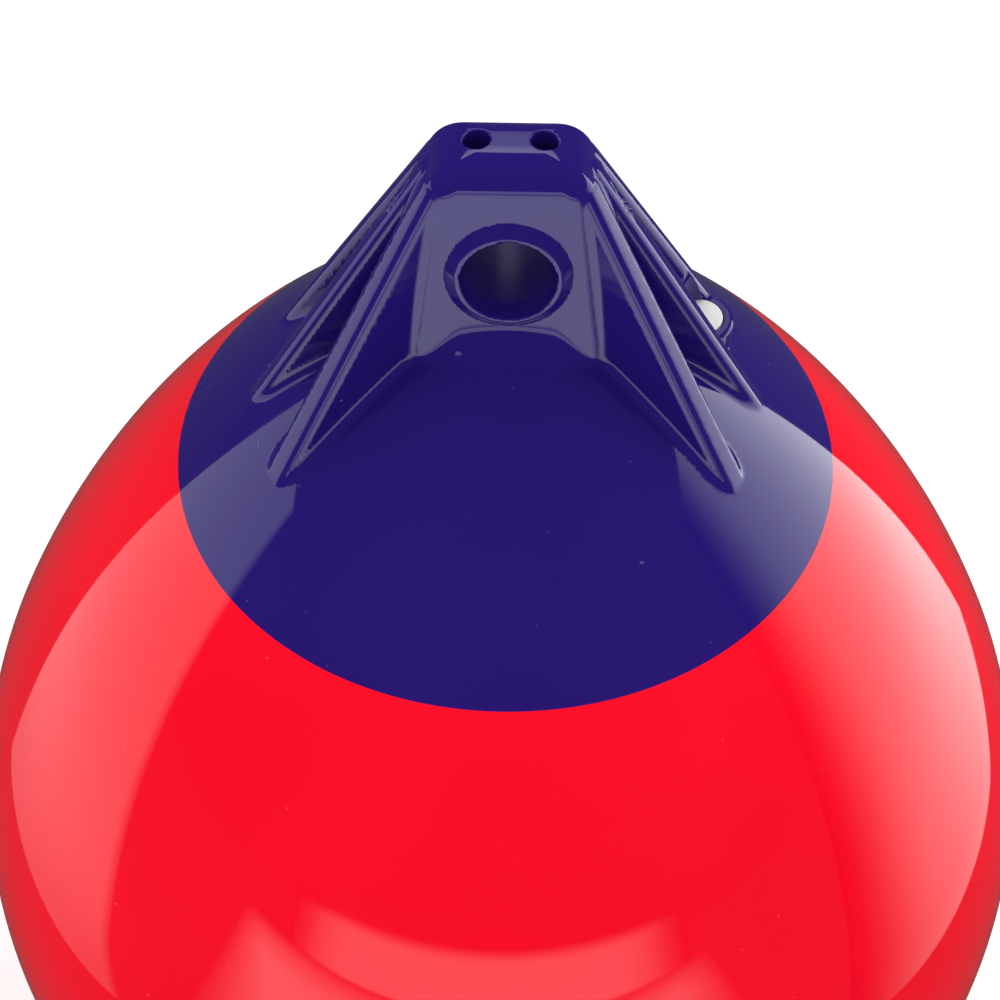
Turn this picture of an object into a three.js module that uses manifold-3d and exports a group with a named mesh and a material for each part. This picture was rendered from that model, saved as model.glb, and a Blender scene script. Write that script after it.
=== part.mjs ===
// Ball fender: an inflated red vinyl ball under a blue moulded rope hold.
// Millimetres, +Z up. Everything is drawn about the ball's centre, and the whole group is
// then lowered so that the origin is the centre of the rope eye, from which it hangs.
// The eye's hole runs along Y.
import * as THREE from "three";
import { ConvexGeometry } from "three/addons/geometries/ConvexGeometry.js";
import { mergeVertices } from "three/addons/utils/BufferGeometryUtils.js";
import Module from "manifold-3d";

const wasm = await Module();
wasm.setup();

// Outline of the inflated body: a sphere, then a flatter neck arc, then a rounder crown.
// Each arc meets the next one smoothly; the angles are those of the surface's normal
// above the horizon.
const BALL_RADIUS = 184;
const NECK_FROM = radians(20.75);
const NECK_RADIUS = 372;
const CROWN_FROM = radians(54);
const CROWN_RADIUS = 142;

// The blue moulding covers everything inside this radius of the neck.
const SEAM_RADIUS = 105;

// Head: an upright plate across X with leaning faces. Its top is rounded over its two sides
// and over its two faces.
const EYE_ABOVE_CROWN = 18.4;
const HEAD_ABOVE_EYE = 38.5;
const HEAD_WIDTH = 53;
const HEAD_THICKNESS = 28.8;
const HEAD_SIDE_ROUNDING = 18;
const HEAD_FACE_ROUNDING = 12;
const HEAD_SIDE_LEAN = radians(6.2);
const HEAD_FACE_LEAN = radians(5.5);

// Rope eye: two core pins met in the middle of the head, so the hole has a waist, and
// a sloping rim stands about each of its mouths.
const EYE_RADIUS = 14.3;
const EYE_WAIST_RADIUS = 13.3;
const EYE_RIM_PROUD = 2.8;
const EYE_LIP_WIDTH = 1.5;
const EYE_RIM_SLOPE_WIDTH = 3.4;

// Two blind holes in the top of the head.
const PIN_HOLE_RADIUS = 3.9;
const PIN_HOLE_SPACING = 19.6;
const PIN_HOLE_DEPTH = 18;

// Ribs: three on each side, their crests on one cone about the axis.
const RIB_REACH_AT_EYE = 41.7;
const RIB_SLOPE = radians(61.3);
const RIB_TOP_ABOVE_SHOULDER = 4;
const RIB_WIDTH_AT_HEAD = 9.4;
const SIDE_RIB_WIDTH_AT_TOE = 13;
const MIDDLE_RIB_WIDTH_AT_TOE = 9.4;
const RIB_ROUNDING = 3.4;
const RIB_DRAFT = radians(1.5);
const SIDE_RIB_ANGLE = radians(29);
const SIDE_RIB_ROOT = 8;

// Inflation valve: an upright boss between the middle and rear ribs on the +X side, with a
// sleeve in it for a seat and a plain plug whose head covers the sleeve.
const VALVE_X = 59.8;
const VALVE_Y = 16.2;
const VALVE_BOSS_RADIUS = 11;
const VALVE_BELOW_CREST = 12.7;
const VALVE_BOSS_CHAMFER = 1.2;
const VALVE_SEAT_RADIUS = 6.2;
const VALVE_SEAT_LENGTH = 15;
const PLUG_HEAD_RADIUS = 7.5;
const PLUG_HEAD_THICKNESS = 2;
const PLUG_HEAD_PROUD = 0.5;
const PLUG_HEAD_CHAMFER = 0.4;
const PLUG_SHANK_RADIUS = 3.6;
const PLUG_SHANK_LENGTH = 10;
const FIT = 0.3;

// Fineness of the facets.
const BODY_SEGMENTS = 72;
const BALL_ROWS = 22;
const NECK_ROWS = 5;
const CAP_ROWS = 4;
const CROWN_ROWS = 7;
const EYE_SEGMENTS = 40;
const SMALL_SEGMENTS = 24;
const ROUNDING_STEPS = 4;

// How far a buried part or a cutting tool runs past the surface that it crosses.
const OVERRUN = 6;

function radians(degrees) {
  return degrees * Math.PI / 180;
}

// Points of an arc as [radius, height] pairs, for normals from one angle to another.
function arcPoints(startR, startZ, arcRadius, from, to, rows) {
  const points = [];
  for (let i = 0; i <= rows; i += 1) {
    const angle = from + (to - from) * i / rows;
    points.push([
      startR - arcRadius * (Math.cos(from) - Math.cos(angle)),
      startZ + arcRadius * (Math.sin(angle) - Math.sin(from)),
    ]);
  }
  return points;
}

// Where the arcs join, and the angles at which they cross the seam and reach the axis.
const neckStart = [BALL_RADIUS * Math.cos(NECK_FROM), BALL_RADIUS * Math.sin(NECK_FROM)];
const crownStart = arcPoints(...neckStart, NECK_RADIUS, NECK_FROM, CROWN_FROM, 1)[1];
const seamAngle = Math.acos(Math.cos(NECK_FROM) - (neckStart[0] - SEAM_RADIUS) / NECK_RADIUS);
const crownEnd = Math.acos(Math.max(0, Math.cos(CROWN_FROM) - crownStart[0] / CROWN_RADIUS));
const seamHeight = arcPoints(...neckStart, NECK_RADIUS, NECK_FROM, seamAngle, 1)[1][1];
const crownTop = arcPoints(...crownStart, CROWN_RADIUS, CROWN_FROM, crownEnd, 1)[1][1];
const eyeHeight = crownTop + EYE_ABOVE_CROWN;
const headTop = eyeHeight + HEAD_ABOVE_EYE;
const shoulderHeight = headTop - HEAD_FACE_ROUNDING;

function lathe(points, segments) {
  const outline = points.map(([r, z]) => new THREE.Vector2(r, z));
  return new THREE.LatheGeometry(outline, segments).rotateX(Math.PI / 2);
}

function rowsAlong(points) {
  return points.slice(1);
}

function ballShape() {
  const sphere = arcPoints(0, -BALL_RADIUS, BALL_RADIUS, -Math.PI / 2, NECK_FROM, BALL_ROWS);
  const neck = arcPoints(...neckStart, NECK_RADIUS, NECK_FROM, seamAngle, NECK_ROWS);
  neck[NECK_ROWS] = [SEAM_RADIUS, seamHeight];
  return lathe([...sphere, ...rowsAlong(neck), [0, seamHeight]], BODY_SEGMENTS);
}

function domeShape() {
  const seam = [SEAM_RADIUS, seamHeight];
  const cap = arcPoints(...seam, NECK_RADIUS, seamAngle, CROWN_FROM, CAP_ROWS);
  const crown = arcPoints(...crownStart, CROWN_RADIUS, CROWN_FROM, crownEnd, CROWN_ROWS);
  crown[CROWN_ROWS] = [0, crownTop];
  return lathe([[0, seamHeight], ...cap, ...rowsAlong(crown)], BODY_SEGMENTS);
}

// Half the size of the head at a height: it leans out below the rounding and curves in above.
function headHalf(height, halfSize, rounding, lean) {
  const rise = height - (headTop - rounding);
  if (rise <= 0) return halfSize - rise * Math.tan(lean);
  return halfSize - rounding + Math.sqrt(Math.max(0, rounding ** 2 - rise ** 2));
}

// The head plate, from its top down to a footing in the dome.
function headShape() {
  const points = [];
  const heights = [seamHeight + OVERRUN];
  for (let step = 0; step <= 2 * ROUNDING_STEPS; step += 1) {
    const turn = step / (2 * ROUNDING_STEPS) * Math.PI / 2;
    heights.push(headTop - HEAD_SIDE_ROUNDING * (1 - Math.sin(turn)));
  }
  for (const height of heights) {
    const x = headHalf(height, HEAD_WIDTH / 2, HEAD_SIDE_ROUNDING, HEAD_SIDE_LEAN);
    const y = headHalf(height, HEAD_THICKNESS / 2, HEAD_FACE_ROUNDING, HEAD_FACE_LEAN);
    for (const sideX of [-1, 1]) {
      for (const sideY of [-1, 1]) points.push(new THREE.Vector3(sideX * x, sideY * y, height));
    }
  }
  return new ConvexGeometry(points);
}

// Distance from the axis to the ribs' crests at a height.
function crestReach(height) {
  return RIB_REACH_AT_EYE + (eyeHeight - height) / Math.tan(RIB_SLOPE);
}

function crestHeight(reach) {
  return eyeHeight - (reach - RIB_REACH_AT_EYE) * Math.tan(RIB_SLOPE);
}

// A rib is a tapered plate. Its mid-plane leaves the X axis at root and turns by angle
// towards +Y; its crest follows the cone of crests from inside the head to inside the dome.
function ribShape(root, angle, widthAtToe) {
  const along = new THREE.Vector3(Math.cos(angle), Math.sin(angle), 0);
  const across = new THREE.Vector3(-Math.sin(angle), Math.cos(angle), 0);
  const start = new THREE.Vector3(root, 0, 0);
  const points = [];
  const footHeight = seamHeight + OVERRUN;
  const ends = [
    { height: shoulderHeight + RIB_TOP_ABOVE_SHOULDER, width: RIB_WIDTH_AT_HEAD },
    { height: footHeight + OVERRUN, width: widthAtToe },
  ];
  for (const { height, width } of ends) {
    const reach = crestReach(height);
    const run = Math.sqrt(reach ** 2 - (root * Math.sin(angle)) ** 2) - root * Math.cos(angle);
    const crest = start.clone().addScaledVector(along, run).setZ(height);
    for (const side of [-1, 1]) {
      for (let step = 0; step <= ROUNDING_STEPS; step += 1) {
        const turn = step / ROUNDING_STEPS * Math.PI / 2;
        const out = width / 2 - RIB_ROUNDING * (1 - Math.sin(turn));
        const sink = RIB_ROUNDING * (1 - Math.cos(turn));
        points.push(crest.clone()
          .addScaledVector(across, side * out)
          .addScaledVector(along, -sink * Math.sin(RIB_SLOPE))
          .setZ(height - sink * Math.cos(RIB_SLOPE)));
      }
      const footWidth = width / 2 + (height - footHeight) * Math.tan(RIB_DRAFT);
      points.push(crest.clone().addScaledVector(across, side * footWidth).setZ(footHeight));
      points.push(start.clone().addScaledVector(across, side * width / 2).setZ(footHeight));
      points.push(start.clone().addScaledVector(across, side * width / 2).setZ(height));
    }
  }
  return new ConvexGeometry(points);
}

function ribShapes() {
  const ribs = [];
  for (const heading of [0, Math.PI]) {
    ribs.push(ribShape(0, 0, MIDDLE_RIB_WIDTH_AT_TOE).rotateZ(heading));
    ribs.push(ribShape(SIDE_RIB_ROOT, SIDE_RIB_ANGLE, SIDE_RIB_WIDTH_AT_TOE).rotateZ(heading));
    ribs.push(ribShape(SIDE_RIB_ROOT, -SIDE_RIB_ANGLE, SIDE_RIB_WIDTH_AT_TOE).rotateZ(heading));
  }
  return ribs;
}

// Half the head's thickness at the height of the eye.
const faceAtEye = headHalf(eyeHeight, HEAD_THICKNESS / 2, HEAD_FACE_ROUNDING, HEAD_FACE_LEAN);

// The rims about the eye's two mouths, each square to its leaning face.
function eyeRimShapes() {
  const lipRadius = EYE_RADIUS + EYE_LIP_WIDTH;
  const baseRadius = lipRadius + EYE_RIM_SLOPE_WIDTH;
  return [-1, 1].map((side) => lathe([
    [0, -OVERRUN / 2], [baseRadius, -OVERRUN / 2], [baseRadius, 0], [lipRadius, EYE_RIM_PROUD],
    [0, EYE_RIM_PROUD],
  ], EYE_SEGMENTS).rotateX(side * (HEAD_FACE_LEAN - Math.PI / 2))
    .translate(0, side * faceAtEye, eyeHeight));
}

function eyeBoreTool() {
  const end = faceAtEye + EYE_RIM_PROUD + OVERRUN;
  return lathe([
    [0, -end], [EYE_RADIUS, -end], [EYE_RADIUS, -faceAtEye], [EYE_WAIST_RADIUS, 0],
    [EYE_RADIUS, faceAtEye], [EYE_RADIUS, end], [0, end],
  ], EYE_SEGMENTS).rotateX(Math.PI / 2).translate(0, 0, eyeHeight);
}

function pinHoleTools() {
  return [-1, 1].map((side) => lathe([
    [0, headTop - PIN_HOLE_DEPTH], [PIN_HOLE_RADIUS, headTop - PIN_HOLE_DEPTH],
    [PIN_HOLE_RADIUS, headTop + OVERRUN], [0, headTop + OVERRUN],
  ], SMALL_SEGMENTS).translate(side * PIN_HOLE_SPACING / 2, 0, 0));
}

// Heights of the valve: its boss ends below the ribs' crests beside it.
const valveBossTop = crestHeight(Math.hypot(VALVE_X, VALVE_Y)) - VALVE_BELOW_CREST;
const plugTop = valveBossTop + PLUG_HEAD_PROUD;
const plugHeadBottom = plugTop - PLUG_HEAD_THICKNESS;
const valveSeatTop = plugHeadBottom - FIT;
const valveSeatBottom = valveSeatTop - VALVE_SEAT_LENGTH;

function valveBossShape() {
  return lathe([
    [0, seamHeight + OVERRUN], [VALVE_BOSS_RADIUS, seamHeight + OVERRUN],
    [VALVE_BOSS_RADIUS, valveBossTop - VALVE_BOSS_CHAMFER],
    [VALVE_BOSS_RADIUS - VALVE_BOSS_CHAMFER, valveBossTop], [0, valveBossTop],
  ], SMALL_SEGMENTS).translate(VALVE_X, VALVE_Y, 0);
}

// The pocket that the valve's seat is pressed into, and room for the plug's head above.
function valvePocketTool() {
  return lathe([
    [0, valveSeatBottom - FIT], [VALVE_SEAT_RADIUS + FIT, valveSeatBottom - FIT],
    [VALVE_SEAT_RADIUS + FIT, valveSeatTop], [PLUG_HEAD_RADIUS + FIT, valveSeatTop],
    [PLUG_HEAD_RADIUS + FIT, plugTop + FIT], [0, plugTop + FIT],
  ], SMALL_SEGMENTS).translate(VALVE_X, VALVE_Y, 0);
}

function valveSeatShape() {
  return lathe([
    [PLUG_SHANK_RADIUS + FIT, valveSeatBottom], [VALVE_SEAT_RADIUS, valveSeatBottom],
    [VALVE_SEAT_RADIUS, valveSeatTop], [PLUG_SHANK_RADIUS + FIT, valveSeatTop],
    [PLUG_SHANK_RADIUS + FIT, valveSeatBottom],
  ], SMALL_SEGMENTS).translate(VALVE_X, VALVE_Y, 0);
}

function valvePlugShape() {
  return lathe([
    [0, plugHeadBottom - PLUG_SHANK_LENGTH],
    [PLUG_SHANK_RADIUS, plugHeadBottom - PLUG_SHANK_LENGTH],
    [PLUG_SHANK_RADIUS, plugHeadBottom], [PLUG_HEAD_RADIUS, plugHeadBottom],
    [PLUG_HEAD_RADIUS, plugTop - PLUG_HEAD_CHAMFER],
    [PLUG_HEAD_RADIUS - PLUG_HEAD_CHAMFER, plugTop], [0, plugTop],
  ], SMALL_SEGMENTS).translate(VALVE_X, VALVE_Y, 0);
}

// A closed solid from a three.js geometry, and a geometry back from a solid.
function solid(geometry) {
  geometry.deleteAttribute("normal");
  geometry.deleteAttribute("uv");
  const merged = mergeVertices(geometry, 1e-5);
  return new wasm.Manifold(new wasm.Mesh({
    numProp: 3,
    vertProperties: Float32Array.from(merged.attributes.position.array),
    triVerts: Uint32Array.from(merged.index.array),
  }));
}

function geometryOf(body) {
  const mesh = body.getMesh();
  const geometry = new THREE.BufferGeometry();
  geometry.setAttribute("position", new THREE.BufferAttribute(mesh.vertProperties, 3));
  geometry.setIndex(new THREE.BufferAttribute(mesh.triVerts, 1));
  geometry.computeVertexNormals();
  return geometry;
}

function joined(shapes) {
  return shapes.map(solid).reduce((all, next) => all.add(next));
}

function cut(body, tools) {
  return tools.map(solid).reduce((left, tool) => left.subtract(tool), body);
}

const redVinyl = new THREE.MeshStandardMaterial({ color: 0xf00028, roughness: 0.28, metalness: 0 });
const blueVinyl = new THREE.MeshStandardMaterial({ color: 0x201464, roughness: 0.25, metalness: 0 });
const whiteNylon = new THREE.MeshStandardMaterial({ color: 0xf2f2ee, roughness: 0.4, metalness: 0 });

function part(name, body, material) {
  const mesh = new THREE.Mesh(geometryOf(body), material);
  mesh.name = name;
  return mesh;
}

const ropeHold = cut(
  joined([domeShape(), headShape(), ...eyeRimShapes(), ...ribShapes(), valveBossShape()]),
  [eyeBoreTool(), ...pinHoleTools(), valvePocketTool()],
);

const fender = new THREE.Group();
fender.add(part("ball", solid(ballShape()), redVinyl));
fender.add(part("rope_hold", ropeHold, blueVinyl));
fender.add(part("valve_seat", solid(valveSeatShape()), whiteNylon));
fender.add(part("valve_plug", solid(valvePlugShape()), whiteNylon));
fender.position.z = -eyeHeight;

export default fender;
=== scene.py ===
"""Ball fender: looks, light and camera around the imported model.

Lengths are in metres, in the model's own frame: the origin is the centre of the rope
eye, +Z runs up the ball's axis and the eye's hole runs along Y.
"""
import math

import bmesh
import bpy
import numpy as np
from mathutils import Matrix, Vector

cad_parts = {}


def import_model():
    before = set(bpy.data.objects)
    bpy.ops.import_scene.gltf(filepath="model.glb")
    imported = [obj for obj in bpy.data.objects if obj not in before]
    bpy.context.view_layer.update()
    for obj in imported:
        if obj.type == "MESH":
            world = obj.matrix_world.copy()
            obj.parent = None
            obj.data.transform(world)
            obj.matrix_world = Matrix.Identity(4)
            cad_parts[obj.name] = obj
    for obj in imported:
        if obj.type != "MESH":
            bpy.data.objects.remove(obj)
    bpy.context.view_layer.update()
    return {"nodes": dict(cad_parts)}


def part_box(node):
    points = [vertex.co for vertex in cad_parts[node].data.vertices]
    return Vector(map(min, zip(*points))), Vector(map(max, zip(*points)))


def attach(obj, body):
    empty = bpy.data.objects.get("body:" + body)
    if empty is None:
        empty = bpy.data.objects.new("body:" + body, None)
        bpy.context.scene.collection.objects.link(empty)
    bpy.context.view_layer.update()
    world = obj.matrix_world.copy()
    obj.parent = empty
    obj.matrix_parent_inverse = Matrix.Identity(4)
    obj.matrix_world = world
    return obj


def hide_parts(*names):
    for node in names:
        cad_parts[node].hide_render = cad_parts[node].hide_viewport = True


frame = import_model()

MM = 0.001

# Places and sizes read from the frame.
ball_low, ball_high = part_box("ball")
hold_low, hold_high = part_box("rope_hold")
seat_low, seat_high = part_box("valve_seat")
plug_low, plug_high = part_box("valve_plug")
BALL_RADIUS = (ball_high.x - ball_low.x) / 2
BALL_CENTRE_Z = ball_low.z + BALL_RADIUS
FLOOR_Z = ball_low.z - 0.4 * MM
SEAM_RADIUS = (hold_high.x - hold_low.x) / 2
SEAM_Z = hold_low.z
HEAD_TOP = hold_high.z
VALVE_X = (plug_low.x + plug_high.x) / 2
VALVE_Y = (plug_low.y + plug_high.y) / 2
PLUG_TOP = plug_high.z
PLUG_RADIUS = (plug_high.x - plug_low.x) / 2
SEAT_RADIUS = (seat_high.x - seat_low.x) / 2

# Outline of the inflated body, as in the solid: a sphere, a flatter neck, a rounder crown.
NECK_FROM = math.radians(20.75)
NECK_RADIUS = 372 * MM
CROWN_FROM = math.radians(54)
CROWN_RADIUS = 142 * MM

# Head.
HEAD_HALF_WIDTH = 26.5 * MM
HEAD_HALF_THICKNESS = 14.4 * MM
HEAD_SIDE_ROUNDING = 18 * MM
HEAD_FACE_ROUNDING = 12 * MM
HEAD_EDGE_ROUNDING = 8 * MM
HEAD_SIDE_LEAN = math.radians(6.2)
HEAD_FACE_LEAN = math.radians(5.5)

# Rope eye.
EYE_RADIUS = 14.3 * MM
EYE_WAIST_RADIUS = 13.3 * MM
RIM_PROUD = 2.8 * MM
RIM_LIP_RADIUS = EYE_RADIUS + 1.5 * MM
RIM_BASE_RADIUS = RIM_LIP_RADIUS + 3.4 * MM
RIM_ROUNDING = 1.6 * MM

# Pin holes in the head's top.
PIN_HOLE_RADIUS = 3.9 * MM
PIN_HOLE_X = 9.8 * MM
PIN_HOLE_DEPTH = 18 * MM

# Ribs.
RIB_REACH_AT_EYE = 41.7 * MM
RIB_SLOPE = math.radians(61.3)
RIB_TOP = 30.5 * MM
RIB_HALF_WIDTH = 4.7 * MM
RIB_ROUNDING = 3.4 * MM
RIB_DRAFT = math.tan(math.radians(1.5))
SIDE_RIB_ANGLE = math.radians(29)
SIDE_RIB_ROOT = 8 * MM
SIDE_RIB_WIDENING = 1.8 / 100

# Valve.
BOSS_RADIUS = 11 * MM
BOSS_ROUNDING = 1.4 * MM
PLUG_PROUD = 0.5 * MM
PLUG_HEAD_THICKNESS = 2 * MM
PLUG_SHANK_RADIUS = 3.6 * MM
PLUG_ROUNDING = 0.4 * MM
CLEARANCE = 0.3 * MM

# Fillets where the forms of the moulding run into one another.
# The one under each face is widest in the middle and narrows towards the ribs.
FACE_FILLET = 18 * MM
FACE_FILLET_BY_RIBS = 4 * MM
FACE_FILLET_NARROWS_FROM = 13 * MM
FACE_FILLET_NARROW_AT = 25 * MM
RIB_FILLET = 3.2 * MM
GROOVE_FILLET = 1.5 * MM
RIM_FILLET = 0.6 * MM
BOSS_FILLET = 2.2 * MM
HOLE_ROUNDING = 0.5 * MM

# Fineness of the meshes.
SKIN_STEP = 1.4 * MM
BALL_SEGMENTS = 256
BALL_ROWS = 96
VALVE_SEGMENTS = 64
PLUG_ROUNDING_STEPS = 6
CARD_CELLS = 16

# The stretch about the head whose mesh is finer: half its width and depth, and its foot.
HEAD_REGION = (33 * MM, 25 * MM, -21 * MM)

# Camera, fitted to the outline of the ball, the seam and the eye. Its height is that above
# the ball's centre.
CAMERA_LENS = 118.463
CAMERA_SHIFT = (-0.0028, 0.14)
CAMERA_Y = -0.71062630
CAMERA_HEIGHT = 0.96199078
CAMERA_RIGHT = (0.99987663, 0.01222172, 0.00986658)
CAMERA_UP = (-0.01570732, 0.77799457, 0.62807462)

# Studio: how far the side panels stand from the axis, and the light of world and floor.
PANEL_REACH = 0.45
WORLD_STRENGTH = 1.3
MIRRORED_WORLD_STRENGTH = 0.07
FLOOR_SIZE = 60
FLOOR_GREY = 0.75
FLOOR_GLOW = 0.35

# The bright stretch of floor that the gloss mirrors. Its sides are lines that open out with
# the distance ahead, each a slope and an offset.
STRETCH_STRENGTH = 1.9
DIM_FLOOR_STRENGTH = 0.08
STRETCH_BEGINS = (0.26, 0.40)
STRETCH_ENDS = (2.5, 1.4)
STRETCH_LEFT = (1.2, 0.10)
STRETCH_RIGHT = (0.8, 0.18)
STRETCH_SOFTNESS = 0.4


class Form:
    """A solid at many points: the distance from its surface, and the slope of that distance."""

    def __init__(self, distance, slope):
        self.distance = distance
        self.slope = slope

    def __neg__(self):
        return Form(-self.distance, -self.slope)


def union(first, second, radius):
    """Two solids joined, with a fillet of that radius where their surfaces meet at an angle."""
    a = first.distance - radius
    b = second.distance - radius
    cosine = np.clip((first.slope * second.slope).sum(axis=1), -0.99, 0.9999)
    rest = 1 - cosine ** 2
    share_a = (cosine * b - a) / rest
    share_b = (cosine * a - b) / rest
    filleted = (share_a > 0) & (share_b > 0)
    length = np.sqrt(np.maximum(a * a + b * b - 2 * cosine * a * b, 1e-18) / rest)
    blended = share_a[:, None] * first.slope + share_b[:, None] * second.slope
    nearest = np.where((a < b)[:, None], first.slope, second.slope)
    return Form(
        np.where(filleted, radius - length, np.minimum(a, b) + radius),
        np.where(filleted[:, None], blended / length[:, None], nearest),
    )


def overlap(first, second, radius=0.0):
    """What two solids share, with its edge rounded by that radius."""
    return -union(-first, -second, radius)


def columns(*values):
    return np.stack(np.broadcast_arrays(*values), axis=1)


def plane(q, point, normal):
    """Everything behind a plane through point."""
    return Form((q - np.array(point)) @ np.array(normal), np.tile(np.array(normal), (len(q), 1)))


def upright_cylinder(q, x, y, radius):
    along_x, along_y = q[:, 0] - x, q[:, 1] - y
    reach = np.maximum(np.hypot(along_x, along_y), 1e-9)
    return Form(reach - radius, columns(along_x / reach, along_y / reach, 0.0))


def above(q, height):
    return plane(q, (0, 0, height), (0, 0, -1))


def below(q, height):
    return plane(q, (0, 0, height), (0, 0, 1))


def body(q):
    """The neck and the crown of the inflated body."""
    neck_r = BALL_RADIUS * math.cos(NECK_FROM)
    neck_z = BALL_CENTRE_Z + BALL_RADIUS * math.sin(NECK_FROM)
    neck_centre_r = neck_r - NECK_RADIUS * math.cos(NECK_FROM)
    neck_centre_z = neck_z - NECK_RADIUS * math.sin(NECK_FROM)
    crown_centre_r = neck_centre_r + (NECK_RADIUS - CROWN_RADIUS) * math.cos(CROWN_FROM)
    crown_centre_z = neck_centre_z + (NECK_RADIUS - CROWN_RADIUS) * math.sin(CROWN_FROM)
    reach = np.maximum(np.hypot(q[:, 0], q[:, 1]), 1e-9)
    on_crown = np.arctan2(q[:, 2] - crown_centre_z, reach - crown_centre_r) > CROWN_FROM
    out = reach - np.where(on_crown, crown_centre_r, neck_centre_r)
    rise = q[:, 2] - np.where(on_crown, crown_centre_z, neck_centre_z)
    length = np.hypot(out, rise)
    slope = columns(q[:, 0] / reach * out / length, q[:, 1] / reach * out / length, rise / length)
    return Form(length - np.where(on_crown, CROWN_RADIUS, NECK_RADIUS), slope)


def head_face(q):
    """The leaning face of the head, without an edge."""
    point = (0, HEAD_HALF_THICKNESS, HEAD_TOP - HEAD_FACE_ROUNDING)
    return plane(q, point, (0, math.cos(HEAD_FACE_LEAN), math.sin(HEAD_FACE_LEAN)))


def face_fillet(q):
    """The radius of the fillet between the body and the head at each point."""
    past = (np.abs(q[:, 0]) - FACE_FILLET_NARROWS_FROM) / (FACE_FILLET_NARROW_AT - FACE_FILLET_NARROWS_FROM)
    share = np.clip(past, 0, 1)
    return FACE_FILLET + (FACE_FILLET_BY_RIBS - FACE_FILLET) * share * share * (3 - 2 * share)


def head(q):
    """The head plate: leaning sides and faces, with the top rounded over both."""
    point = (HEAD_HALF_WIDTH, 0, HEAD_TOP - HEAD_SIDE_ROUNDING)
    side = plane(q, point, (math.cos(HEAD_SIDE_LEAN), 0, math.sin(HEAD_SIDE_LEAN)))
    top = below(q, HEAD_TOP)
    return overlap(
        overlap(side, top, HEAD_SIDE_ROUNDING),
        overlap(head_face(q), top, HEAD_FACE_ROUNDING),
        HEAD_EDGE_ROUNDING,
    )


def rib(q, root, angle, widening):
    """One rib: a plate that leaves the X axis at root, under the cone of the crests."""
    x, y, z = q.T
    reach = np.maximum(np.hypot(x, y), 1e-9)
    past_crest = (reach - RIB_REACH_AT_EYE) * math.sin(RIB_SLOPE) + z * math.cos(RIB_SLOPE)
    crest = Form(past_crest, columns(
        x / reach * math.sin(RIB_SLOPE), y / reach * math.sin(RIB_SLOPE), math.cos(RIB_SLOPE)))
    across = y * math.cos(angle) - (x - root) * math.sin(angle)
    side = np.where(across < 0, -1.0, 1.0)
    half_width = RIB_HALF_WIDTH + widening * (RIB_TOP - z) / 2 - RIB_DRAFT * np.minimum(past_crest, 0)
    flank = Form(np.abs(across) - half_width, columns(
        -side * math.sin(angle), side * math.cos(angle), widening / 2))
    plate = overlap(flank, crest, RIB_ROUNDING)
    plate = overlap(plate, below(q, RIB_TOP), 2 * RIB_ROUNDING)
    return overlap(plate, plane(q, (root, 0, 0), (-math.cos(angle), -math.sin(angle), 0)))


def eye_reach(q):
    """Distance from the eye's axis, with its slope along x and z."""
    reach = np.maximum(np.hypot(q[:, 0], q[:, 2]), 1e-9)
    return reach, q[:, 0] / reach, q[:, 2] / reach


def eye_bore(q):
    """The eye's hole, narrowest in the middle of the head."""
    reach, slope_x, slope_z = eye_reach(q)
    half_length = HEAD_HALF_THICKNESS + (HEAD_TOP - HEAD_FACE_ROUNDING) * math.tan(HEAD_FACE_LEAN)
    taper = (EYE_RADIUS - EYE_WAIST_RADIUS) / half_length
    widened = np.minimum(q[:, 1], half_length) * taper
    return Form(reach - EYE_WAIST_RADIUS - widened, columns(slope_x, -taper, slope_z))


def eye_rim(q):
    """The sloping rim about a mouth of the eye."""
    reach, slope_x, slope_z = eye_reach(q)
    face = head_face(q)
    slant = math.hypot(RIM_PROUD, RIM_BASE_RADIUS - RIM_LIP_RADIUS)
    steep = RIM_PROUD / slant
    flat = (RIM_BASE_RADIUS - RIM_LIP_RADIUS) / slant
    cone = Form(
        (reach - RIM_BASE_RADIUS) * steep + face.distance * flat,
        columns(slope_x, 0.0, slope_z) * steep + face.slope * flat,
    )
    return overlap(cone, Form(face.distance - RIM_PROUD, face.slope), RIM_ROUNDING)


def pin_hole(q):
    return overlap(upright_cylinder(q, PIN_HOLE_X, 0, PIN_HOLE_RADIUS), above(q, HEAD_TOP - PIN_HOLE_DEPTH))


def valve_boss(p):
    shaft = upright_cylinder(p, VALVE_X, VALVE_Y, BOSS_RADIUS)
    return overlap(shaft, below(p, PLUG_TOP - PLUG_PROUD), BOSS_ROUNDING)


def valve_pocket(p):
    """The pocket that holds the valve's seat, wider above for the plug's head."""
    wide = upright_cylinder(p, VALVE_X, VALVE_Y, PLUG_RADIUS + CLEARANCE)
    narrow = upright_cylinder(p, VALVE_X, VALVE_Y, SEAT_RADIUS + CLEARANCE)
    return union(
        overlap(overlap(wide, above(p, seat_high.z)), below(p, PLUG_TOP + CLEARANCE)),
        overlap(narrow, above(p, seat_low.z - CLEARANCE)),
        0.0,
    )


def moulding(p):
    """The whole rope hold at each point of p, an array of rows x, y, z."""
    fold = np.where(p < 0, -1.0, 1.0) * (1, 1, 0) + (0, 0, 1)
    q = p * fold
    ribs = union(rib(q, 0, 0, 0), rib(q, SIDE_RIB_ROOT, SIDE_RIB_ANGLE, SIDE_RIB_WIDENING),
                 GROOVE_FILLET)
    solid = union(body(q), head(q), face_fillet(q))
    solid = union(solid, ribs, RIB_FILLET)
    solid = union(solid, eye_rim(q), RIM_FILLET)
    solid = overlap(solid, -eye_bore(q), HOLE_ROUNDING)
    solid = overlap(solid, -pin_hole(q), HOLE_ROUNDING)
    solid.slope = solid.slope * fold
    solid = union(solid, valve_boss(p), BOSS_FILLET)
    return overlap(solid, -valve_pocket(p))


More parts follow.
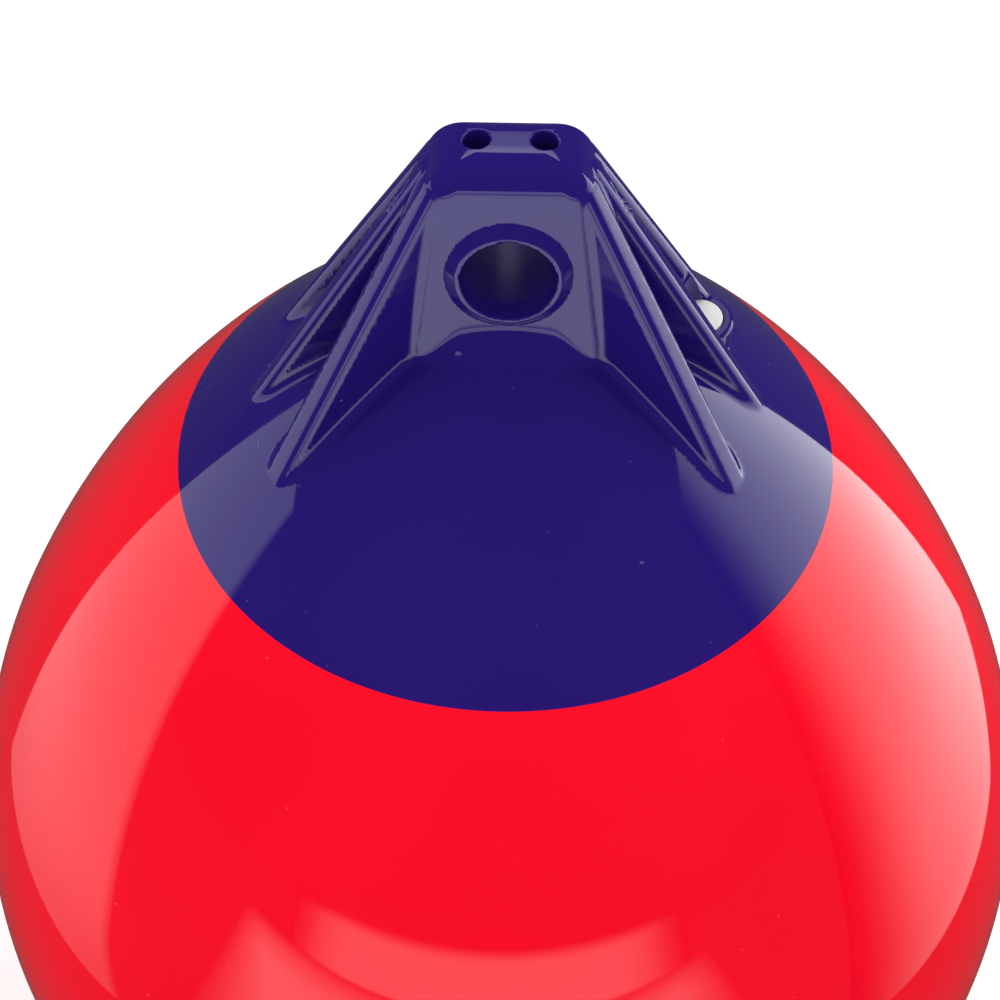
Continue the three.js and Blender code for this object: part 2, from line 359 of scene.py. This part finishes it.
def surface_net(solid, low, high, step):
    """Points and quads of a solid's surface, on a grid between two corners."""
    counts = [int(math.ceil((high[a] - low[a]) / step)) + 1 for a in range(3)]
    axes = [low[a] + step * np.arange(counts[a]) for a in range(3)]
    grid = np.empty(counts)
    for i, x in enumerate(axes[0]):
        yy, zz = np.meshgrid(axes[1], axes[2], indexing="ij")
        layer = np.stack([np.full(yy.size, x), yy.ravel(), zz.ravel()], axis=1)
        grid[i] = solid(layer).distance.reshape(yy.shape)
    inside = grid < 0
    cells = [c - 1 for c in counts]
    corner_sum = np.zeros(cells, int)
    for dx in (0, 1):
        for dy in (0, 1):
            for dz in (0, 1):
                corner_sum += inside[dx:dx + cells[0], dy:dy + cells[1], dz:dz + cells[2]]
    active = (corner_sum > 0) & (corner_sum < 8)
    number = np.full(cells, -1)
    number[active] = np.arange(active.sum())
    where = np.argwhere(active)
    total = np.zeros((len(where), 3))
    crossings = np.zeros(len(where))
    for axis in range(3):
        for a in (0, 1):
            for b in (0, 1):
                start = np.zeros(3, int)
                start[(axis + 1) % 3], start[(axis + 2) % 3] = a, b
                end = start.copy()
                end[axis] = 1
                first = grid[tuple((where + start).T)]
                last = grid[tuple((where + end).T)]
                crossed = (first < 0) != (last < 0)
                share = np.where(crossed, first / np.where(crossed, first - last, 1), 0)
                spot = start + share[:, None] * (end - start)
                total += np.where(crossed[:, None], spot, 0)
                crossings += crossed
    points = np.array(low) + step * (where + total / crossings[:, None])
    quads = []
    for axis in range(3):
        u, v = (axis + 1) % 3, (axis + 2) % 3
        first = [slice(None)] * 3
        last = [slice(None)] * 3
        first[axis], last[axis] = slice(0, -1), slice(1, None)
        changes = inside[tuple(first)] != inside[tuple(last)]
        edges = np.argwhere(changes)
        edges = edges[(edges[:, u] > 0) & (edges[:, v] > 0)]
        edges = edges[(edges[:, u] < cells[u]) & (edges[:, v] < cells[v])]
        step_u, step_v = np.zeros(3, int), np.zeros(3, int)
        step_u[u], step_v[v] = 1, 1
        ring = [number[tuple((edges - a * step_u - b * step_v).T)]
                for a, b in ((0, 0), (1, 0), (1, 1), (0, 1))]
        ring = np.stack(ring, axis=1)
        outward = inside[tuple(edges.T)]
        quads.append(np.where(outward[:, None], ring, ring[:, ::-1]))
    return points, np.concatenate(quads)


def settle(solid, points, longest):
    """Moves points onto a solid's surface, no further than longest."""
    moved = points.copy()
    for _ in range(6):
        form = solid(moved)
        moved -= form.distance[:, None] * form.slope
    shift = moved - points
    length = np.linalg.norm(shift, axis=1)
    shift *= np.minimum(1, longest / np.maximum(length, 1e-9))[:, None]
    return points + shift


def near_head(centre):
    half_width, half_depth, foot = HEAD_REGION
    return abs(centre.x) < half_width and abs(centre.y) < half_depth and centre.z > foot


def near_valve(centre):
    reach = math.hypot(centre.x - VALVE_X, centre.y - VALVE_Y)
    return reach < BOSS_RADIUS + 2 * MM and centre.z > PLUG_TOP - 5 * MM


def refine(form, solid, wanted, longest):
    """Halves the faces that are wanted and settles their points."""
    faces = [f for f in form.faces if wanted(f.calc_center_median())]
    edges = list({e for f in faces for e in f.edges})
    bmesh.ops.subdivide_edges(form, edges=edges, cuts=1, use_grid_fill=True)
    touched = list({v for f in form.faces if wanted(f.calc_center_median()) for v in f.verts})
    places = settle(solid, np.array([v.co for v in touched]), longest)
    for vertex, place in zip(touched, places):
        vertex.co = place


def rope_hold_skin():
    """The moulding as one fine mesh, cut flat at the seam and shaded by the form's own slopes."""
    margin = 3 * MM
    low = (hold_low.x - margin, hold_low.y - margin, SEAM_Z - 2 * SKIN_STEP)
    high = (hold_high.x + margin, hold_high.y + margin, HEAD_TOP + margin)

    def longer_moulding(p):
        return overlap(moulding(p), above(p, SEAM_Z - 1.5 * SKIN_STEP))

    points, quads = surface_net(longer_moulding, low, high, SKIN_STEP)
    points = settle(longer_moulding, points, SKIN_STEP)
    mesh = bpy.data.meshes.new("rope_hold_skin")
    mesh.from_pydata([tuple(p) for p in points], [], [tuple(f) for f in quads])
    form = bmesh.new()
    form.from_mesh(mesh)
    refine(form, longer_moulding, near_head, SKIN_STEP)
    refine(form, longer_moulding, near_valve, SKIN_STEP / 2)
    refine(form, longer_moulding, near_valve, SKIN_STEP / 4)
    everything = [*form.verts, *form.edges, *form.faces]
    bmesh.ops.bisect_plane(form, geom=everything, plane_co=(0, 0, SEAM_Z), plane_no=(0, 0, 1),
                           clear_inner=True)
    rim = [e for e in form.edges if e.is_boundary]
    for vertex in {v for e in rim for v in e.verts}:
        reach = math.hypot(vertex.co.x, vertex.co.y)
        vertex.co.x *= SEAM_RADIUS / reach
        vertex.co.y *= SEAM_RADIUS / reach
        vertex.co.z = SEAM_Z
    bmesh.ops.contextual_create(form, geom=rim)
    bmesh.ops.recalc_face_normals(form, faces=form.faces)
    for face in form.faces:
        face.smooth = True
    form.to_mesh(mesh)
    form.free()
    slopes = moulding(np.array([v.co for v in mesh.vertices])).slope
    mesh.normals_split_custom_set_from_vertices([tuple(n) for n in slopes])
    made = bpy.data.objects.new("rope_hold_skin", mesh)
    bpy.context.scene.collection.objects.link(made)
    return made


def lathe(name, outline, segments, centre=(0, 0)):
    """A closed mesh turned about a vertical line from points of reach and height."""
    form = bmesh.new()
    rings = []
    for reach, height in outline:
        if reach < 1e-9:
            rings.append([form.verts.new((centre[0], centre[1], height))])
            continue
        rings.append([
            form.verts.new((
                centre[0] + reach * math.cos(math.tau * i / segments),
                centre[1] + reach * math.sin(math.tau * i / segments),
                height,
            ))
            for i in range(segments)
        ])
    for lower, upper in zip(rings, rings[1:]):
        for i in range(segments):
            j = (i + 1) % segments
            corners = [lower[i % len(lower)], lower[j % len(lower)],
                       upper[j % len(upper)], upper[i % len(upper)]]
            kept = list(dict.fromkeys(corners))
            form.faces.new(kept).smooth = True
    bmesh.ops.recalc_face_normals(form, faces=form.faces)
    mesh = bpy.data.meshes.new(name)
    form.to_mesh(mesh)
    form.free()
    mesh.set_sharp_from_angle(angle=math.radians(32))
    made = bpy.data.objects.new(name, mesh)
    bpy.context.scene.collection.objects.link(made)
    return made


def ball_skin():
    """The inflated body as a fine lathe, closed flat at the seam."""
    outline = []
    for i in range(BALL_ROWS + 1):
        angle = -math.pi / 2 + (NECK_FROM + math.pi / 2) * i / BALL_ROWS
        outline.append((BALL_RADIUS * math.cos(angle), BALL_CENTRE_Z + BALL_RADIUS * math.sin(angle)))
    start_r, start_z = outline[-1]
    seam_cos = math.cos(NECK_FROM) - (start_r - SEAM_RADIUS) / NECK_RADIUS
    seam_angle = math.acos(seam_cos)
    rows = BALL_ROWS // 3
    for i in range(1, rows + 1):
        angle = NECK_FROM + (seam_angle - NECK_FROM) * i / rows
        outline.append((
            start_r - NECK_RADIUS * (math.cos(NECK_FROM) - math.cos(angle)),
            start_z + NECK_RADIUS * (math.sin(angle) - math.sin(NECK_FROM)),
        ))
    outline[-1] = (SEAM_RADIUS, SEAM_Z)
    outline[0] = (0, outline[0][1])
    outline.append((0, SEAM_Z))
    return lathe("ball_skin", outline, BALL_SEGMENTS)


def plug_skin():
    """The valve's plug: a shank under a flat head with a rounded edge."""
    under_head = PLUG_TOP - PLUG_HEAD_THICKNESS
    outline = [(0, plug_low.z), (PLUG_SHANK_RADIUS, plug_low.z), (PLUG_SHANK_RADIUS, under_head),
               (PLUG_RADIUS, under_head)]
    for i in range(PLUG_ROUNDING_STEPS + 1):
        angle = math.pi / 2 * i / PLUG_ROUNDING_STEPS
        outline.append((
            PLUG_RADIUS - PLUG_ROUNDING * (1 - math.cos(angle)),
            PLUG_TOP - PLUG_ROUNDING * (1 - math.sin(angle)),
        ))
    outline.append((0, PLUG_TOP))
    return lathe("plug_skin", outline, VALVE_SEGMENTS, (VALVE_X, VALVE_Y))


class Nodes:
    """Makes and links the nodes of one material."""

    def __init__(self, material):
        material.use_nodes = True
        self.tree = material.node_tree
        self.shader = self.tree.nodes["Principled BSDF"]

    def add(self, kind, inputs=None, **settings):
        node = self.tree.nodes.new(kind)
        for key, value in settings.items():
            setattr(node, key, value)
        for key, value in (inputs or {}).items():
            self.feed(node.inputs[key], value)
        return node

    def feed(self, socket, value):
        if isinstance(value, bpy.types.NodeSocket):
            self.tree.links.new(value, socket)
        else:
            socket.default_value = value

    def place(self, scale):
        """The object's own coordinates, scaled."""
        source = self.add("ShaderNodeTexCoord").outputs["Object"]
        return self.add("ShaderNodeMapping", {"Vector": source, "Scale": scale}).outputs["Vector"]

    def noise(self, scale, detail=3.0, stretch=(1, 1, 1), distortion=0.0):
        inputs = {"Vector": self.place(stretch), "Scale": scale, "Detail": detail,
                  "Distortion": distortion}
        return self.add("ShaderNodeTexNoise", inputs).outputs["Fac"]

    def ramp(self, value, from_low, from_high, to_low=0.0, to_high=1.0):
        inputs = {"Value": value, "From Min": from_low, "From Max": from_high,
                  "To Min": to_low, "To Max": to_high}
        return self.add("ShaderNodeMapRange", inputs).outputs["Result"]

    def math(self, operation, a, b):
        return self.add("ShaderNodeMath", {0: a, 1: b}, operation=operation).outputs[0]

    def mix(self, share, a, b):
        node = self.add("ShaderNodeMix", data_type="RGBA")
        self.feed(node.inputs["Factor"], share)
        self.feed(node.inputs["A"], a)
        self.feed(node.inputs["B"], b)
        return node.outputs["Result"]

    def bump(self, height, distance, strength=1.0, under=None):
        inputs = {"Height": height, "Distance": distance, "Strength": strength}
        if under is not None:
            inputs["Normal"] = under
        return self.add("ShaderNodeBump", inputs).outputs["Normal"]


def vinyl(name, colour, deep_colour, worn_colour, roughness, wear, bore_roughness=0.0):
    """Glossy vinyl: colour drifting a little, faint ripples, a few nicks, rubbed edges.

    bore_roughness is how much duller the wall of the rope eye's hole is.
    """
    material = bpy.data.materials.new(name)
    nodes = Nodes(material)
    drift = nodes.ramp(nodes.noise(9.0, 2.0), 0.35, 0.65)
    nicks = nodes.ramp(nodes.noise(420.0, 0.0), 0.87, 0.90)
    edge = nodes.ramp(nodes.add("ShaderNodeNewGeometry").outputs["Pointiness"], 0.56, 0.62)
    rubbed = nodes.math("MULTIPLY", edge, nodes.ramp(nodes.noise(260.0, 5.0), 0.54, 0.66))
    marks = nodes.math("MULTIPLY", nodes.math("MAXIMUM", nicks, rubbed), wear)
    clean = nodes.mix(drift, (*colour, 1), (*deep_colour, 1))
    faded = nodes.math("MULTIPLY", marks, 0.35)
    nodes.feed(nodes.shader.inputs["Base Color"], nodes.mix(faded, clean, (*worn_colour, 1)))
    smudge = nodes.ramp(nodes.noise(24.0, 4.0), 0.4, 0.7, 0.0, 0.02)
    rough = nodes.math("ADD", nodes.math("ADD", smudge, roughness), nodes.math("MULTIPLY", marks, 0.25))
    if bore_roughness:
        across = nodes.add("ShaderNodeVectorMath", {0: nodes.place((1, 0, 1))}, operation="LENGTH")
        in_bore = nodes.ramp(across.outputs["Value"], EYE_RADIUS, EYE_RADIUS - 0.3 * MM)
        rough = nodes.math("ADD", rough, nodes.math("MULTIPLY", in_bore, bore_roughness))
    nodes.feed(nodes.shader.inputs["Roughness"], rough)
    ripple = nodes.bump(nodes.noise(26.0, 2.0), 0.2 * MM, 0.12)
    nicked = nodes.bump(nodes.math("SUBTRACT", 1.0, marks), 0.1 * MM, 0.4, ripple)
    nodes.feed(nodes.shader.inputs["Normal"], nicked)
    nodes.shader.inputs["IOR"].default_value = 1.5
    return material


def nylon():
    """Plain white moulded nylon, a little uneven."""
    material = bpy.data.materials.new("white_nylon")
    nodes = Nodes(material)
    drift = nodes.ramp(nodes.noise(300.0), 0.3, 0.7)
    nodes.feed(nodes.shader.inputs["Base Color"],
               nodes.mix(drift, (0.86, 0.86, 0.84, 1), (0.80, 0.80, 0.78, 1)))
    nodes.feed(nodes.shader.inputs["Roughness"], nodes.ramp(nodes.noise(500.0), 0.3, 0.7, 0.3, 0.42))
    nodes.feed(nodes.shader.inputs["Normal"], nodes.bump(nodes.noise(1500.0), 0.03 * MM, 0.4))
    nodes.shader.inputs["Subsurface Weight"].default_value = 0.1
    nodes.shader.inputs["Subsurface Radius"].default_value = (0.001, 0.001, 0.001)
    return material


def dress(piece, material, slot, *replaced):
    piece.data.materials.clear()
    piece.data.materials.append(material)
    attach(piece, "root")
    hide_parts(*replaced)


def camera():
    """The photograph's view."""
    data = bpy.data.cameras.new("camera")
    data.sensor_width = 36
    data.lens = CAMERA_LENS
    data.shift_x, data.shift_y = CAMERA_SHIFT
    data.clip_end = 50
    made = bpy.data.objects.new("camera", data)
    bpy.context.scene.collection.objects.link(made)
    right = Vector(CAMERA_RIGHT)
    up = Vector(CAMERA_UP)
    back = right.cross(up)
    turn = Matrix((right, up, back)).transposed()
    place = Vector((0, CAMERA_Y, BALL_CENTRE_Z + CAMERA_HEIGHT))
    made.matrix_world = Matrix.Translation(place) @ turn.to_4x4()
    bpy.context.scene.camera = made


def smooth(value):
    """A soft step from 0 to 1."""
    t = min(max(value, 0.0), 1.0)
    return t * t * (3 - 2 * t)


def card(name, corners, glow):
    """A lamp panel between four corners; glow(u, v) is how bright it looks at each place."""
    count = CARD_CELLS
    a, b, c, d = (Vector(corner) + Vector((0, 0, BALL_CENTRE_Z)) for corner in corners)
    places, strengths = [], []
    for i in range(count + 1):
        for j in range(count + 1):
            u, v = i / count, j / count
            places.append(a.lerp(b, u).lerp(d.lerp(c, u), v))
            strengths.append(glow(u, v))
    faces = [(k, k + count + 1, k + count + 2, k + 1)
             for k in (i * (count + 1) + j for i in range(count) for j in range(count))]
    mesh = bpy.data.meshes.new(name)
    mesh.from_pydata(places, [], faces)
    mesh.attributes.new("glow", "FLOAT", "POINT").data.foreach_set("value", strengths)
    material = bpy.data.materials.new(name)
    material.use_nodes = True
    tree = material.node_tree
    tree.nodes.clear()
    value = tree.nodes.new("ShaderNodeAttribute")
    value.attribute_name = "glow"
    emission = tree.nodes.new("ShaderNodeEmission")
    output = tree.nodes.new("ShaderNodeOutputMaterial")
    tree.links.new(value.outputs["Fac"], emission.inputs["Strength"])
    tree.links.new(emission.outputs[0], output.inputs["Surface"])
    mesh.materials.append(material)
    made = bpy.data.objects.new(name, mesh)
    made.visible_camera = False
    made.visible_shadow = False
    bpy.context.scene.collection.objects.link(made)


def studio():
    """Two upright panels beside the ball, one above and behind it, and a low one far in front."""
    low = FLOOR_Z - BALL_CENTRE_Z + 2 * MM
    card("panel_left",
         ((-PANEL_REACH, -0.20, low), (-PANEL_REACH, 0.165, low),
          (-PANEL_REACH, 0.215, 0.36), (-PANEL_REACH, -0.045, 0.36)),
         lambda u, v: (0.5 + 0.65 * smooth(3 * v)) * smooth(12 * u + 0.3))
    card("panel_right",
         ((PANEL_REACH, -0.27, low), (PANEL_REACH, 0.33, low),
          (PANEL_REACH, 0.34, 0.43), (PANEL_REACH, -0.12, 0.43)),
         lambda u, v: (0.7 + 2.8 * u) * (0.55 + 0.45 * smooth(3 * v)) * smooth(3 * u))
    card("panel_above",
         ((-0.35, 1.02, 0.95), (0.35, 1.02, 0.95), (0.35, 0.37, 1.45), (-0.35, 0.37, 1.45)),
         lambda u, v: 0.7 + 2.3 * smooth(v))
    card("panel_front",
         ((-2.2, -2.5, low), (1.9, -2.5, low), (1.9, -2.5, 0.2), (-2.2, -2.5, 0.2)),
         lambda u, v: 1.7 * smooth(5 * u) * smooth(5 * (1 - u)) * smooth(4 * (1 - v)))


def world():
    """White to the eye, and dim where the gloss would mirror it."""
    made = bpy.data.worlds.new("world")
    bpy.context.scene.world = made
    made.use_nodes = True
    tree = made.node_tree
    tree.nodes.clear()
    path = tree.nodes.new("ShaderNodeLightPath")
    background = tree.nodes.new("ShaderNodeBackground")
    output = tree.nodes.new("ShaderNodeOutputWorld")
    tree.links.new(background.outputs[0], output.inputs[0])
    strength = tree.nodes.new("ShaderNodeMix")
    strength.inputs["A"].default_value = WORLD_STRENGTH
    strength.inputs["B"].default_value = MIRRORED_WORLD_STRENGTH
    tree.links.new(path.outputs["Is Glossy Ray"], strength.inputs["Factor"])
    seen = tree.nodes.new("ShaderNodeMath")
    seen.operation = "MAXIMUM"
    tree.links.new(strength.outputs["Result"], seen.inputs[0])
    tree.links.new(path.outputs["Is Camera Ray"], seen.inputs[1])
    tree.links.new(seen.outputs[0], background.inputs["Strength"])


def floor():
    """A pale floor: white to the eye with the ball's soft shadow, and in the gloss a dim room
    with a bright stretch in front, as a table before the lamps would be."""
    bpy.ops.mesh.primitive_plane_add(size=FLOOR_SIZE, location=(0, 0, FLOOR_Z))
    made = bpy.context.object
    made.name = "floor"
    material = bpy.data.materials.new("pale_floor")
    nodes = Nodes(material)
    tree = material.node_tree
    tree.nodes.remove(nodes.shader)
    place = nodes.add("ShaderNodeSeparateXYZ", {0: nodes.place((1, 1, 1))})
    ahead = nodes.math("MULTIPLY", place.outputs["Y"], -1.0)
    begun = nodes.math("MULTIPLY", nodes.ramp(ahead, *STRETCH_BEGINS), nodes.ramp(ahead, *STRETCH_ENDS))
    left_edge = nodes.math("ADD", nodes.math("MULTIPLY", ahead, STRETCH_LEFT[0]), STRETCH_LEFT[1])
    right_edge = nodes.math("ADD", nodes.math("MULTIPLY", ahead, STRETCH_RIGHT[0]), STRETCH_RIGHT[1])
    past_left = nodes.math("ADD", place.outputs["X"], left_edge)
    from_left = nodes.ramp(past_left, 0.0, STRETCH_SOFTNESS)
    past_right = nodes.math("SUBTRACT", right_edge, place.outputs["X"])
    from_right = nodes.ramp(past_right, 0.0, STRETCH_SOFTNESS)
    stretch = nodes.math("MULTIPLY", begun, nodes.math("MULTIPLY", from_left, from_right))
    bright = nodes.math("MULTIPLY", stretch, STRETCH_STRENGTH)
    mirrored = nodes.add("ShaderNodeEmission", {
        "Strength": nodes.math("ADD", bright, DIM_FLOOR_STRENGTH)})
    matte = nodes.add("ShaderNodeBsdfDiffuse", {"Color": (FLOOR_GREY, FLOOR_GREY, FLOOR_GREY, 1)})
    glow = nodes.add("ShaderNodeEmission", {"Strength": FLOOR_GLOW})
    lit = nodes.add("ShaderNodeAddShader", {0: matte.outputs[0], 1: glow.outputs[0]})
    path = nodes.add("ShaderNodeLightPath")
    to_eye = nodes.add("ShaderNodeMixShader", {
        0: path.outputs["Is Camera Ray"], 1: matte.outputs[0], 2: lit.outputs[0]})
    both = nodes.add("ShaderNodeMixShader", {
        0: path.outputs["Is Glossy Ray"], 1: to_eye.outputs[0], 2: mirrored.outputs[0]})
    output = next(n for n in tree.nodes if n.type == "OUTPUT_MATERIAL")
    tree.links.new(both.outputs[0], output.inputs["Surface"])
    made.data.materials.append(material)


camera()
red = vinyl("red_vinyl", (1.0, 0.004, 0.022), (0.96, 0.002, 0.018), (1.0, 0.2, 0.25), 0.03, 0.4)
blue = vinyl("blue_vinyl", (0.020, 0.0075, 0.165), (0.017, 0.006, 0.145), (0.2, 0.18, 0.42), 0.04, 1.0, 0.35)
white = nylon()
dress(ball_skin(), red, "red_vinyl", "ball")
dress(rope_hold_skin(), blue, "blue_vinyl", "rope_hold")
dress(plug_skin(), white, "white_nylon", "valve_plug")
seat = frame["nodes"]["valve_seat"]
seat.data.materials.clear()
seat.data.materials.append(white)
studio()
world()
floor()
bpy.context.scene.view_settings.view_transform = "Standard"
